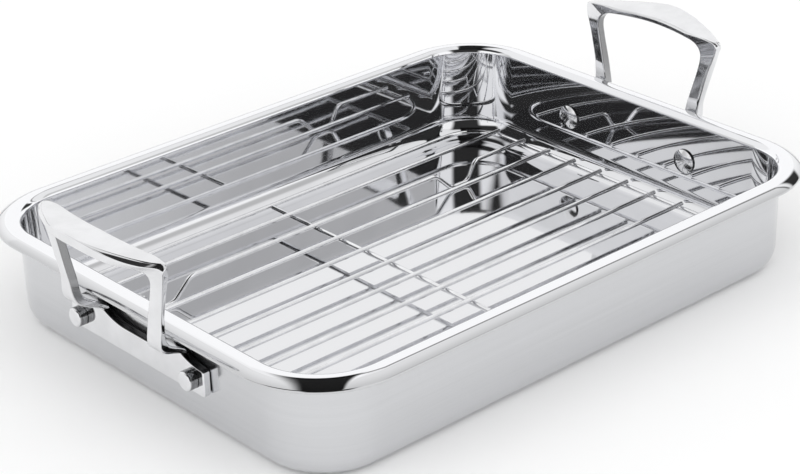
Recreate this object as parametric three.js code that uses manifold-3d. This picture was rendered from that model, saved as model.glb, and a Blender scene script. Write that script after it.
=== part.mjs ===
// Roasting pan with a lift-out wire rack: a drawn steel shell, two riveted cast handles and a welded rack.
// Sizes are in millimetres. Z is up, X runs along the pan, and the origin is under the middle of its base.
import * as THREE from 'three';
import { mergeVertices } from 'three/addons/utils/BufferGeometryUtils.js';
import Module from 'manifold-3d';

// Pan shell, pressed from one sheet
const RIM_LENGTH = 420;
const RIM_WIDTH = 323;
const RIM_CORNER_RADIUS = 55.6;
const PAN_HEIGHT = 66.3;
const SHEET = 2.4;
const RIM_OVERHANG = 13;
const RIM_BEND_RADIUS = 4.6;
const LIP_CROWN_RADIUS = 18;
const WALL_DRAFT_DEGREES = 0.8;
const FLOOR_CORNER_RADIUS = 10.4;

// Rivets
const RIVET_SPACING = 102.2;
const RIVET_BELOW_RIM = 30.4;
const RIVET_SHANK_RADIUS = 3;
const INNER_HEAD_RADIUS = 8.1;
const INNER_HEAD_HEIGHT = 2.8;
const INNER_HEAD_EDGE = 0.8;
const OUTER_HEAD_RADIUS = 5.9;
const OUTER_HEAD_HEIGHT = 5.4;
const OUTER_HEAD_ROUND = 1.5;
const RIVET_HOLE_CLEARANCE = 0.3;

// Handle bar, measured from the rivet centres
const BAR_THICKNESS = 4.8;
const BAR_EDGE_ROUND = 0.9;
const BAR_PAST_RIVET = 10.2;
const BAR_BELOW_RIVET = 8.6;
const BAR_LOBE_ABOVE_RIVET = 7.9;
const BAR_WAIST_ABOVE_RIVET = 7.2;
const BAR_SHOULDER_ABOVE_RIVET = 11.5;
const BAR_CORNER_RADIUS = 1.6;

// Handle legs and grip
const LEG_ROOT_ABOVE_RIVET = 4;
const LEG_ROOT_WIDTH = 14.5;
const LEG_ROOT_SPACING = 71.5;
const ARCH_EDGE_ROUND = 1.3;

// Four edges of one half of the arch, from the bar up the leg and along the grip to its middle.
// Each point is given as the distance out from the lip, along the end of the pan
// and up from the top of the lip.
const TOP_PAN_SIDE_EDGE = [
  [-11.8, 43, -17.5],
  [0.6, 44.6, -9],
  [2.6, 45.4, 3],
  [3.7, 50.4, 23.7],
  [4.6, 54, 32.7],
  [4.9, 55.9, 38.7],
  [5.2, 55.2, 44],
  [4.9, 47.5, 45.9],
  [6, 30, 46.1],
  [7.5, 15, 46.9],
  [8, 0, 47.3],
];
const UNDER_PAN_SIDE_EDGE = [
  [-11.8, 28.5, -17.5],
  [0.6, 33.4, -9],
  [2, 36.4, 3],
  [3.4, 42.2, 23.7],
  [3.6, 44, 31.7],
  [4.2, 43.4, 36],
  [4.6, 41.2, 38.9],
  [5.2, 37, 41.2],
  [6, 29, 42.2],
  [7.5, 15, 43],
  [8, 0, 43.4],
];
const UNDER_OUTER_EDGE = [
  [-8.6, 28.5, -20],
  [6.2, 33, -11.5],
  [8.4, 36.6, 3],
  [9.3, 42.4, 23.7],
  [10, 44.4, 31.7],
  [11.2, 44.4, 35.5],
  [13.2, 42.6, 38.2],
  [18, 36.5, 39.9],
  [23.2, 28, 40.8],
  [26, 15, 41.9],
  [27.2, 0, 42.8],
];
const TOP_OUTER_EDGE = [
  [-8.6, 43, -20],
  [6.2, 45.6, -11.5],
  [6.6, 47.2, 3],
  [8.3, 52.4, 23.7],
  [9.2, 54.6, 32.7],
  [9.8, 56.2, 39.2],
  [10.4, 58.6, 44.6],
  [18, 48, 45.9],
  [24.7, 30, 48.1],
  [27.5, 15, 49.3],
  [28.8, 0, 50.3],
];

// Rack of welded wire
const FRAME_WIRE = 3;
const LONG_WIRE = 2.8;
const LONG_WIRE_COUNT = 10;
const RACK_END_CLEARANCE = 10;
const RACK_SIDE_CLEARANCE = 14.3;
const RACK_CORNER_RADIUS = 29;
const RACK_SHIFT_X = -6.7;
const RACK_SHIFT_Y = -6.8;
const FRAME_ABOVE_FLOOR = 11.4;
const WIRE_END_OVERLAP = 0.8;
const FOOT_INNER_TOP = 101;
const FOOT_INNER_BOTTOM = 114.5;
const FOOT_OUTER_BOTTOM = 129.5;
const FOOT_OUTER_TOP = 136.5;
const FOOT_BEND = 4;

// Space between neighbouring pieces
const GAP = 0.3;

// Roundness of the curved surfaces
const CORNER_STEPS = 8;
const WIRE_SIDES = 10;
const RIVET_SIDES = 20;
const GRIP_STATIONS = 48;
const EDGE_STEPS = 2;

const wasm = await Module();
wasm.setup();

function steel(color, roughness) {
  return new THREE.MeshStandardMaterial({ color, roughness, metalness: 1 });
}

// Skins closed rings of points into one body. A looped body joins its last ring to its first.
// Other bodies get a cap at each end.
function loft(rings, looped = false) {
  const size = rings[0].length;
  const points = rings.flat();
  const faces = [];
  const spans = looped ? rings.length : rings.length - 1;
  for (let i = 0; i < spans; i += 1) {
    const near = i * size;
    const far = ((i + 1) % rings.length) * size;
    for (let j = 0; j < size; j += 1) {
      const next = (j + 1) % size;
      faces.push(near + j, near + next, far + next);
      faces.push(near + j, far + next, far + j);
    }
  }
  if (!looped) {
    const last = (rings.length - 1) * size;
    const middles = [rings[0], rings[rings.length - 1]].map((ring) =>
      ring.reduce((sum, point) => sum.add(point), new THREE.Vector3()).divideScalar(size));
    const centre = points.length;
    points.push(...middles);
    for (let j = 0; j < size; j += 1) {
      const next = (j + 1) % size;
      faces.push(centre, next, j);
      faces.push(centre + 1, last + j, last + next);
    }
  }
  const geometry = new THREE.BufferGeometry().setFromPoints(points);
  geometry.setIndex(faces);
  return geometry;
}

function toSolid(geometry) {
  const bare = geometry.clone();
  bare.deleteAttribute('normal');
  bare.deleteAttribute('uv');
  const welded = mergeVertices(bare, 1e-4);
  return new wasm.Manifold(new wasm.Mesh({
    numProp: 3,
    vertProperties: new Float32Array(welded.attributes.position.array),
    triVerts: new Uint32Array(welded.index.array),
  }));
}

function toGeometry(solid) {
  const mesh = solid.getMesh();
  const geometry = new THREE.BufferGeometry();
  geometry.setAttribute('position', new THREE.BufferAttribute(new Float32Array(mesh.vertProperties), 3));
  geometry.setIndex(new THREE.BufferAttribute(new Uint32Array(mesh.triVerts), 1));
  return geometry;
}

function addMesh(group, name, geometry, material) {
  geometry.computeVertexNormals();
  const mesh = new THREE.Mesh(geometry, material);
  mesh.name = name;
  group.add(mesh);
}

// Section of the shell: inset is measured inward from the rim's edge
const draft = THREE.MathUtils.degToRad(WALL_DRAFT_DEGREES);
const bendInset = RIM_OVERHANG - RIM_BEND_RADIUS + SHEET;
const bendHeight = PAN_HEIGHT - RIM_BEND_RADIUS;
const lipCentre = PAN_HEIGHT - LIP_CROWN_RADIUS;
const lipMiddle = LIP_CROWN_RADIUS - SHEET / 2;
const lipAngle = Math.asin((bendInset - SHEET / 2) / lipMiddle);
const lipEdgeHeight = lipCentre + lipMiddle * Math.cos(lipAngle);

function outerInset(height) {
  return RIM_OVERHANG + (bendHeight - height) * Math.tan(draft);
}

function innerInset(height) {
  return outerInset(height) + SHEET / Math.cos(draft);
}

function arc(inset, height, radius, from, to, steps) {
  const points = [];
  for (let i = 0; i <= steps; i += 1) {
    const angle = from + ((to - from) * i) / steps;
    points.push([inset + radius * Math.cos(angle), height + radius * Math.sin(angle)]);
  }
  return points;
}

function roundedRectangle(halfLength, halfWidth, radius, height) {
  const ring = [];
  const centres = [[1, 1], [-1, 1], [-1, -1], [1, -1]];
  centres.forEach(([sx, sy], corner) => {
    for (let i = 0; i <= CORNER_STEPS; i += 1) {
      const angle = (corner + i / CORNER_STEPS) * (Math.PI / 2);
      const x = sx * (halfLength - radius) + radius * Math.cos(angle);
      const y = sy * (halfWidth - radius) + radius * Math.sin(angle);
      ring.push(new THREE.Vector3(x, y, height));
    }
  });
  return ring;
}

function shellGeometry() {
  const right = Math.PI / 2;
  const filletHeight = SHEET + FLOOR_CORNER_RADIUS;
  const filletInset = innerInset(filletHeight) + FLOOR_CORNER_RADIUS / Math.cos(draft);
  const wallTurn = 2 * right + draft;
  const section = [
    ...arc(filletInset, filletHeight, FLOOR_CORNER_RADIUS + SHEET, 3 * right, wallTurn, 6),
    ...arc(bendInset, bendHeight, RIM_BEND_RADIUS - SHEET, draft, right, 4),
    ...arc(bendInset, lipCentre, LIP_CROWN_RADIUS - SHEET, right, right + lipAngle, 3).slice(1),
    ...arc(SHEET / 2, lipEdgeHeight, SHEET / 2, 3 * right + lipAngle, right + lipAngle, 6).slice(1),
    ...arc(bendInset, lipCentre, LIP_CROWN_RADIUS, right + lipAngle, right, 5).slice(1),
    ...arc(bendInset, bendHeight, RIM_BEND_RADIUS, right, draft, 5).slice(1),
    ...arc(filletInset, filletHeight, FLOOR_CORNER_RADIUS, wallTurn, 3 * right, 6),
  ];
  return loft(section.map(([inset, height]) => roundedRectangle(
    RIM_LENGTH / 2 - inset, RIM_WIDTH / 2 - inset, RIM_CORNER_RADIUS - inset, height)));
}

// Places of the bar and rivets at the right end. The left end mirrors them.
const rivetHeight = PAN_HEIGHT - RIVET_BELOW_RIM;
const barTop = rivetHeight + BAR_SHOULDER_ABOVE_RIVET;
const wallInside = RIM_LENGTH / 2 - innerInset(rivetHeight);
const barBack = RIM_LENGTH / 2 - outerInset(barTop) + GAP;
const barFront = barBack + BAR_THICKNESS;

function rivetHoles(side) {
  const reach = barFront - wallInside + 2 * RIVET_SHANK_RADIUS;
  const radius = RIVET_SHANK_RADIUS + RIVET_HOLE_CLEARANCE;
  return [1, -1].map((half) => {
    const drill = new THREE.CylinderGeometry(radius, radius, reach, RIVET_SIDES);
    drill.rotateZ(Math.PI / 2);
    drill.translate(side * (wallInside + barFront) / 2, half * RIVET_SPACING / 2, rivetHeight);
    return toSolid(drill);
  });
}

function rivetGeometry(side, half) {
  const grip = barFront - wallInside + 2 * GAP;
  const dome = INNER_HEAD_HEIGHT - INNER_HEAD_EDGE;
  const domeRadius = (INNER_HEAD_RADIUS ** 2 + dome ** 2) / (2 * dome);
  const domeAngle = Math.asin(INNER_HEAD_RADIUS / domeRadius);
  const profile = [];
  for (let i = 0; i <= 5; i += 1) {
    const angle = (domeAngle * i) / 5;
    const drop = domeRadius * (1 - Math.cos(angle));
    profile.push(new THREE.Vector2(domeRadius * Math.sin(angle), drop - INNER_HEAD_HEIGHT));
  }
  profile.push(new THREE.Vector2(INNER_HEAD_RADIUS, 0));
  profile.push(new THREE.Vector2(RIVET_SHANK_RADIUS, 0));
  profile.push(new THREE.Vector2(RIVET_SHANK_RADIUS, grip));
  profile.push(new THREE.Vector2(OUTER_HEAD_RADIUS, grip));
  for (let i = 0; i <= 4; i += 1) {
    const angle = (Math.PI / 2) * (i / 4);
    profile.push(new THREE.Vector2(
      OUTER_HEAD_RADIUS - OUTER_HEAD_ROUND * (1 - Math.cos(angle)),
      grip + OUTER_HEAD_HEIGHT - OUTER_HEAD_ROUND * (1 - Math.sin(angle))));
  }
  profile.push(new THREE.Vector2(0, grip + OUTER_HEAD_HEIGHT));
  const geometry = new THREE.LatheGeometry(profile, RIVET_SIDES);
  geometry.rotateZ(-side * Math.PI / 2);
  geometry.translate(side * (wallInside - GAP), half * RIVET_SPACING / 2, rivetHeight);
  return toGeometry(toSolid(geometry));
}

// Handle at the right end: its bar is drawn in the plane of the wall,
// and its legs and grip run between four edge lines
function barSolid() {
  const end = RIVET_SPACING / 2 + BAR_PAST_RIVET - BAR_EDGE_ROUND;
  const bottom = rivetHeight - BAR_BELOW_RIVET + BAR_EDGE_ROUND;
  const lobe = rivetHeight + BAR_LOBE_ABOVE_RIVET - BAR_EDGE_ROUND;
  const waist = rivetHeight + BAR_WAIST_ABOVE_RIVET - BAR_EDGE_ROUND;
  const shoulder = barTop - BAR_EDGE_ROUND;
  const inside = (LEG_ROOT_SPACING - LEG_ROOT_WIDTH) / 2;
  const outside = (LEG_ROOT_SPACING + LEG_ROOT_WIDTH) / 2;
  const outline = new THREE.Shape();
  outline.moveTo(-end + BAR_CORNER_RADIUS, bottom);
  outline.lineTo(end - BAR_CORNER_RADIUS, bottom);
  outline.quadraticCurveTo(end, bottom, end, bottom + BAR_CORNER_RADIUS);
  outline.lineTo(end, lobe - BAR_CORNER_RADIUS);
  outline.quadraticCurveTo(end, lobe, end - BAR_CORNER_RADIUS, lobe);
  outline.quadraticCurveTo((outside + end) / 2, lobe, outside, shoulder);
  outline.lineTo(inside, shoulder);
  outline.quadraticCurveTo((inside * 2) / 3, waist, inside / 3, waist);
  outline.lineTo(-inside / 3, waist);
  outline.quadraticCurveTo((-inside * 2) / 3, waist, -inside, shoulder);
  outline.lineTo(-outside, shoulder);
  outline.quadraticCurveTo(-(outside + end) / 2, lobe, -end + BAR_CORNER_RADIUS, lobe);
  outline.quadraticCurveTo(-end, lobe, -end, lobe - BAR_CORNER_RADIUS);
  outline.lineTo(-end, bottom + BAR_CORNER_RADIUS);
  outline.quadraticCurveTo(-end, bottom, -end + BAR_CORNER_RADIUS, bottom);
  const bar = new THREE.ExtrudeGeometry(outline, {
    depth: BAR_THICKNESS - 2 * BAR_EDGE_ROUND,
    bevelSize: BAR_EDGE_ROUND,
    bevelThickness: BAR_EDGE_ROUND,
    bevelSegments: 2,
    curveSegments: 6,
  });
  bar.rotateX(Math.PI / 2);
  bar.rotateZ(Math.PI / 2);
  bar.translate(barBack + BAR_EDGE_ROUND, 0, 0);
  return toSolid(bar);
}

// Smooth lines along the four edges of the arch, each from its root in the bar to the other root
function archLines() {
  const inside = (LEG_ROOT_SPACING - LEG_ROOT_WIDTH) / 2;
  const outside = (LEG_ROOT_SPACING + LEG_ROOT_WIDTH) / 2;
  const back = barBack + BAR_EDGE_ROUND / 2;
  const front = barFront - BAR_EDGE_ROUND / 2;
  const edges = [
    [back, outside, TOP_PAN_SIDE_EDGE],
    [back, inside, UNDER_PAN_SIDE_EDGE],
    [front, inside, UNDER_OUTER_EDGE],
    [front, outside, TOP_OUTER_EDGE],
  ];
  return edges.map(([depth, along, edge]) => {
    const half = [new THREE.Vector3(depth, along, rivetHeight + LEG_ROOT_ABOVE_RIVET)];
    edge.forEach(([out, y, up]) => half.push(new THREE.Vector3(RIM_LENGTH / 2 + out, y, PAN_HEIGHT + up)));
    const mirrored = half.slice(0, -1).reverse().map(({ x, y, z }) => new THREE.Vector3(x, -y, z));
    return new THREE.CatmullRomCurve3([...half, ...mirrored]);
  });
}

// Closed outline through corners that are rounded off. A round takes up less than half of a side.
function roundedRing(corners, radius) {
  return corners.flatMap((corner, i) => {
    const before = corners[(i + corners.length - 1) % corners.length];
    const after = corners[(i + 1) % corners.length];
    const ends = [before, after].map((other) =>
      corner.clone().lerp(other, Math.min(radius / corner.distanceTo(other), 0.45)));
    return new THREE.QuadraticBezierCurve3(ends[0], corner, ends[1]).getPoints(EDGE_STEPS);
  });
}

function archSolid() {
  const lines = archLines();
  const rings = [];
  for (let i = 0; i <= GRIP_STATIONS; i += 1) {
    const corners = lines.map((line) => line.getPoint(i / GRIP_STATIONS));
    rings.push(roundedRing(corners, ARCH_EDGE_ROUND));
  }
  return toSolid(loft(rings));
}

function handleSolid() {
  let solid = barSolid().add(archSolid());
  rivetHoles(1).forEach((hole) => {
    solid = solid.subtract(hole);
  });
  return solid;
}

// Rack: its places are measured from its own middle, which stands a little off the pan's middle
const frameHeight = SHEET + FRAME_ABOVE_FLOOR;
const wireHeight = frameHeight + (FRAME_WIRE + LONG_WIRE) / 2 + GAP;
const footHeight = SHEET + GAP + LONG_WIRE / 2;
const frameHalfLength = RIM_LENGTH / 2 - innerInset(frameHeight) - RACK_END_CLEARANCE - FRAME_WIRE / 2;
const frameHalfWidth = RIM_WIDTH / 2 - innerInset(frameHeight) - RACK_SIDE_CLEARANCE - FRAME_WIRE / 2;
const wirePitch = (2 * frameHalfWidth) / (LONG_WIRE_COUNT + 1);

// Sweeps a round wire along points that all lie in one plane
function wireGeometry(points, radius, planeNormal, looped = false) {
  const last = points.length - 1;
  const rings = points.map((point, i) => {
    const before = looped ? points[(i + last) % points.length] : points[Math.max(i - 1, 0)];
    const after = looped ? points[(i + 1) % points.length] : points[Math.min(i + 1, last)];
    const along = after.clone().sub(before).normalize();
    const side = new THREE.Vector3().crossVectors(planeNormal, along);
    const ring = [];
    for (let j = 0; j < WIRE_SIDES; j += 1) {
      const angle = (j / WIRE_SIDES) * 2 * Math.PI;
      ring.push(point.clone()
        .addScaledVector(side, radius * Math.cos(angle))
        .addScaledVector(planeNormal, radius * Math.sin(angle)));
    }
    return ring;
  });
  return loft(rings, looped);
}

function frameGeometry() {
  const points = roundedRectangle(frameHalfLength, frameHalfWidth, RACK_CORNER_RADIUS, frameHeight);
  return wireGeometry(points, FRAME_WIRE / 2, new THREE.Vector3(0, 0, 1), true);
}

function crossBarGeometry() {
  const reach = frameHalfWidth - FRAME_WIRE / 2 - GAP;
  const points = [new THREE.Vector3(0, -reach, frameHeight), new THREE.Vector3(0, reach, frameHeight)];
  return wireGeometry(points, FRAME_WIRE / 2, new THREE.Vector3(0, 0, 1));
}

// The frame's corner makes the wires near it a little shorter
function wireReach(y) {
  const into = Math.max(Math.abs(y) - (frameHalfWidth - RACK_CORNER_RADIUS), 0);
  const corner = Math.sqrt(RACK_CORNER_RADIUS ** 2 - into ** 2);
  return frameHalfLength - RACK_CORNER_RADIUS + corner + WIRE_END_OVERLAP;
}

function longWireGeometry(y, footed) {
  const reach = wireReach(y);
  const path = new THREE.Path();
  path.moveTo(-reach, wireHeight);
  if (footed) {
    const feet = [
      [FOOT_INNER_TOP, wireHeight],
      [FOOT_INNER_BOTTOM, footHeight],
      [FOOT_OUTER_BOTTOM, footHeight],
      [FOOT_OUTER_TOP, wireHeight],
    ];
    const left = feet.map(([x, z]) => new THREE.Vector2(-x, z)).reverse();
    const right = feet.map(([x, z]) => new THREE.Vector2(x, z));
    const corners = [...left, ...right, new THREE.Vector2(reach, wireHeight)];
    for (let i = 0; i < corners.length - 1; i += 1) {
      const corner = corners[i];
      const toward = path.currentPoint.clone().sub(corner).setLength(FOOT_BEND).add(corner);
      const away = corners[i + 1].clone().sub(corner).setLength(FOOT_BEND).add(corner);
      path.lineTo(toward.x, toward.y);
      path.quadraticCurveTo(corner.x, corner.y, away.x, away.y);
    }
  }
  path.lineTo(reach, wireHeight);
  const points = path.getPoints(4).map(({ x, y: z }) => new THREE.Vector3(x, y, z));
  return wireGeometry(points, LONG_WIRE / 2, new THREE.Vector3(0, 1, 0));
}

function addRack(group) {
  const pieces = [
    ['rack_frame', frameGeometry()],
    ['rack_cross_bar', crossBarGeometry()],
  ];
  for (let i = 0; i < LONG_WIRE_COUNT; i += 1) {
    const y = wirePitch * (i - (LONG_WIRE_COUNT - 1) / 2);
    const footed = i === 1 || i === LONG_WIRE_COUNT - 2;
    const number = String(i + 1).padStart(2, '0');
    pieces.push([footed ? `rack_foot_wire_${number}` : `rack_wire_${number}`, longWireGeometry(y, footed)]);
  }
  pieces.forEach(([name, geometry]) => {
    geometry.translate(RACK_SHIFT_X, RACK_SHIFT_Y, 0);
    addMesh(group, name, geometry, steel(0xe2e3e3, 0.12));
  });
}

function addPan(group) {
  let shell = toSolid(shellGeometry());
  [1, -1].forEach((side) => {
    rivetHoles(side).forEach((hole) => {
      shell = shell.subtract(hole);
    });
  });
  addMesh(group, 'pan_body', toGeometry(shell), steel(0xd3d5d7, 0.18));
  const handle = handleSolid();
  addMesh(group, 'handle_right', toGeometry(handle), steel(0xdadbdb, 0.14));
  addMesh(group, 'handle_left', toGeometry(handle.mirror([1, 0, 0])), steel(0xdadbdb, 0.14));
  [['right', 1], ['left', -1]].forEach(([end, side]) => {
    [['back', 1], ['front', -1]].forEach(([place, half]) => {
      addMesh(group, `rivet_${end}_${place}`, rivetGeometry(side, half), steel(0xd8d9da, 0.16));
    });
  });
}

const part = new THREE.Group();
part.name = 'roasting_pan';
addPan(part);
addRack(part);

export default part;
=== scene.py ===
"""Roasting pan with two riveted cast handles and a lift-out wire rack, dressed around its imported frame."""

import math

import bmesh
import bpy
from mathutils import Matrix, Vector


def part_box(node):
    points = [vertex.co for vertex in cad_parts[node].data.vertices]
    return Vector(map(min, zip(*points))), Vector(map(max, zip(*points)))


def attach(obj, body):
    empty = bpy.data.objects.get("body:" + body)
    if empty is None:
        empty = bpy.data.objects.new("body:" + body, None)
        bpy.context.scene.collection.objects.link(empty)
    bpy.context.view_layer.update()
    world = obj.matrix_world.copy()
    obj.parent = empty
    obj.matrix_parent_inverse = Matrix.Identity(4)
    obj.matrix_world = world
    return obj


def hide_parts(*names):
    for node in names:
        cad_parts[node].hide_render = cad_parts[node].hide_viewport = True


bl_info = {
    "name": "Roasting Pan with Rack",
    "version": (1, 0, 0),
    "blender": (4, 5, 0),
    "location": "3D View > Sidebar > Roasting Pan",
    "description": "Builds a steel roasting pan, its riveted handles and its wire rack",
    "category": "Object",
}

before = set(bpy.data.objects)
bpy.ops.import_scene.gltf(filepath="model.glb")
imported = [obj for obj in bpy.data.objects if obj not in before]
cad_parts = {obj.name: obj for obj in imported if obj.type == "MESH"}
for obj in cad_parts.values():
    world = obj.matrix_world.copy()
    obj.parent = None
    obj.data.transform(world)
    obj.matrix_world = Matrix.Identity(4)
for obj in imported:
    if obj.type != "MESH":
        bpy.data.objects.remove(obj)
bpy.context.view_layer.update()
PAN_LOW, PAN_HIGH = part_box("pan_body")
QUARTER = math.pi / 2
RACK_WIRES = sorted(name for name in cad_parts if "wire" in name)
FOOT_WIRES = [name for name in RACK_WIRES if "foot" in name]


# Properties that a user would change


def length(name, description, default):
    return bpy.props.FloatProperty(
        name=name, description=description, default=default, precision=5, subtype="DISTANCE", unit="LENGTH"
    )


def angle(name, description, degrees):
    return bpy.props.FloatProperty(
        name=name, description=description, default=math.radians(degrees), subtype="ANGLE", unit="ROTATION"
    )


def amount(name, description, default, high=1.0):
    return bpy.props.FloatProperty(
        name=name, description=description, default=default, min=0.0, max=high, precision=4, subtype="FACTOR"
    )


def colour(name, description, default):
    return bpy.props.FloatVectorProperty(
        name=name, description=description, default=default, size=3, min=0.0, max=1.0, subtype="COLOR"
    )


def group(kind, name, description):
    return bpy.props.PointerProperty(type=kind, name=name, description=description)


class PanSizes(bpy.types.PropertyGroup):
    """Sizes of the drawn shell."""

    rim_length: length("Rim length", "Length over the lip, handles left out", PAN_HIGH.x - PAN_LOW.x)
    rim_width: length("Rim width", "Width over the lip", PAN_HIGH.y - PAN_LOW.y)
    height: length("Height", "Height from the base to the top of the lip", PAN_HIGH.z - PAN_LOW.z)
    rim_corner: length("Rim corner", "Radius of the lip's corner seen from above", 0.0556)
    sheet: length("Sheet", "Thickness of the sheet", 0.0024)
    overhang: length("Overhang", "How far the lip stands out past the wall", 0.013)
    bend: length("Rim bend", "Radius at the top of the wall where the lip turns out", 0.0046)
    crown: length("Lip crown", "Radius of the lip's crowned top", 0.018)
    # Past this slope the lip's outer part takes painted shade, a darker copy of the polished steel
    lip_line: angle("Lip line", "Slope at which the lip's duller outer part begins", 18)
    draft: angle("Draft", "Lean of the wall", 0.8)
    base_corner: length("Base corner", "Radius between the base and the wall outside", 0.0128)
    floor_corner: length("Floor corner", "Radius between the floor and the wall inside", 0.0145)


class RivetSizes(bpy.types.PropertyGroup):
    """Sizes of the four rivets."""

    spacing: length("Spacing", "Distance between the two rivets of a handle", 0.1022)
    below_rim: length("Below rim", "Drop from the top of the lip to the rivets", 0.0304)
    shank: length("Shank radius", "Radius of the shank", 0.003)
    inner_radius: length("Inner head radius", "Radius of the domed head in the pan", 0.0081)
    inner_height: length("Inner head height", "Height of the domed head in the pan", 0.0028)
    inner_edge: length("Inner head edge", "Upright edge of the domed head", 0.0008)
    outer_radius: length("Outer head radius", "Radius of the button outside", 0.0059)
    outer_height: length("Outer head height", "Height of the button outside", 0.0054)
    outer_round: length("Outer head round", "Rounding of the button's edge", 0.0015)
    clearance: length("Hole clearance", "Space between the shank and its hole", 0.0003)
    seat: length("Seat gap", "Space between a head and the metal it sits on", 0.0003)


class HandleSizes(bpy.types.PropertyGroup):
    """Sizes of the cast handles."""

    bar_thickness: length("Bar thickness", "Thickness of the bar on the wall", 0.0048)
    bar_edge: length("Bar edge", "Rounding of the bar's edges", 0.0009)
    bar_past_rivet: length("Bar past rivet", "From a rivet to the bar's end", 0.0102)
    bar_below_rivet: length("Bar below rivet", "From the rivets down to the bar's lower edge", 0.0086)
    lobe_above_rivet: length("Lobe above rivet", "From a rivet up to the top of the bar's end", 0.0079)
    waist_above_rivet: length("Waist above rivet", "From the rivets up to the bar's middle", 0.0072)
    shoulder_above_rivet: length("Shoulder above rivet", "From the rivets up to the legs' foot", 0.0115)
    bar_corner: length("Bar corner", "Radius of the bar's corners", 0.0016)
    bar_gap: length("Bar gap", "Space between the bar and the wall", 0.0003)
    root_above_rivet: length("Root above rivet", "From the rivets up to the root of the legs", 0.004)
    root_width: length("Root width", "Width of a leg where it leaves the bar", 0.0145)
    root_spacing: length("Root spacing", "Distance between the legs at the bar", 0.0715)
    leg_edge: length("Leg edge", "Rounding of the edges of legs and grip", 0.0013)
    shoulder_cut: length("Shoulder cut", "Size of the facet at the ends of the grip", 0.0042)


class RackSizes(bpy.types.PropertyGroup):
    """Sizes of the wire rack."""

    frame_wire: length("Frame wire", "Diameter of the frame's wire", 0.003)
    long_wire: length("Long wire", "Diameter of the long wires", 0.0028)
    end_clearance: length("End clearance", "Space between the frame and the pan's end", 0.0100)
    side_clearance: length("Side clearance", "Space between the frame and the pan's side", 0.0143)
    corner: length("Corner", "Radius of the frame's corners", 0.029)
    shift_along: length("Shift along", "How far the rack lies off the pan's middle, along it", -0.0067)
    shift_across: length("Shift across", "How far the rack lies off the pan's middle, across it", -0.0068)
    above_floor: length("Frame above floor", "From the pan's floor up to the frame's middle line", 0.0114)
    weld: length("Weld gap", "Space between wires that touch", 0.0003)
    overlap: length("Wire overlap", "How far a long wire runs past the frame's middle line", 0.0008)
    foot_inner_top: length("Foot inner top", "From the middle to where a foot starts down", 0.101)
    foot_inner_bottom: length("Foot inner bottom", "From the middle to the inner end of a foot", 0.1145)
    foot_outer_bottom: length("Foot outer bottom", "From the middle to the outer end of a foot", 0.1295)
    foot_outer_top: length("Foot outer top", "From the middle to where a foot is up again", 0.1365)
    foot_bend: length("Foot bend", "Length of wire in each bend of a foot", 0.004)


class SteelFinishes(bpy.types.PropertyGroup):
    """Colours and gloss of the steel."""

    polished: colour("Polished steel", "Inside and lip of the pan", (0.83, 0.834, 0.852))
    # Painted shade: the lip's outer part is the polished steel made darker
    lip: colour("Lip steel", "Outer part of the lip", (0.633, 0.637, 0.649))
    satin: colour("Satin steel", "Outside of the pan", (0.646, 0.652, 0.667))
    cast: colour("Cast steel", "Handles", (0.8, 0.804, 0.818))
    rivet: colour("Rivet steel", "Rivets", (0.81, 0.814, 0.828))
    wire: colour("Wire", "Rack", (0.91, 0.914, 0.93))
    polished_roughness: amount("Polished roughness", "Blur of the pan's inside", 0.035)
    satin_roughness: amount("Satin roughness", "Blur of the pan's outside", 0.15)
    cast_roughness: amount("Cast roughness", "Blur of the handles", 0.07)
    wire_roughness: amount("Wire roughness", "Blur of the rack", 0.04)


class StageLooks(bpy.types.PropertyGroup):
    """Floor, studio light and camera."""

    floor: colour("Floor", "Colour of the floor", (0.95, 0.95, 0.95))
    room: amount("Room light", "Level of the light that falls on the floor", 1.08, 2.0)
    room_lean: amount("Room light lean", "How much more of it comes from the camera's side", 0.6)
    camera_lens: bpy.props.FloatProperty(
        name="Lens", description="Focal length of the camera", default=103.59, unit="CAMERA"
    )
    camera_azimuth: angle("Camera azimuth", "Turn of the camera round the pan", -41.38)
    camera_elevation: angle("Camera elevation", "Height of the camera above the horizon", 26.25)
    camera_roll: angle("Camera roll", "Tilt of the picture", -1.67)
    camera_distance: length("Camera distance", "From the camera to the point that it looks at", 1.4667)
    look_at: bpy.props.FloatVectorProperty(
        name="Look at",
        description="Point in the middle of the picture",
        default=(0.04032, 0.05135, 0.0),
        size=3,
        subtype="TRANSLATION",
        unit="LENGTH",
    )


class RoastingPanSettings(bpy.types.PropertyGroup):
    """All settings of the roasting pan."""

    pan: group(PanSizes, "Pan", "Sizes of the shell")
    rivets: group(RivetSizes, "Rivets", "Sizes of the rivets")
    handles: group(HandleSizes, "Handles", "Sizes of the handles")
    rack: group(RackSizes, "Rack", "Sizes of the rack")
    steel: group(SteelFinishes, "Steel", "Finishes of the steel")
    stage: group(StageLooks, "Stage", "Floor, light and camera")


# Shader maths

# Outputs of the nodes for texture coordinates and for the light path
GENERATED, NORMAL, OBJECT = 0, 1, 3
CAMERA_RAY, GLOSSY_RAY = 0, 3


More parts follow.
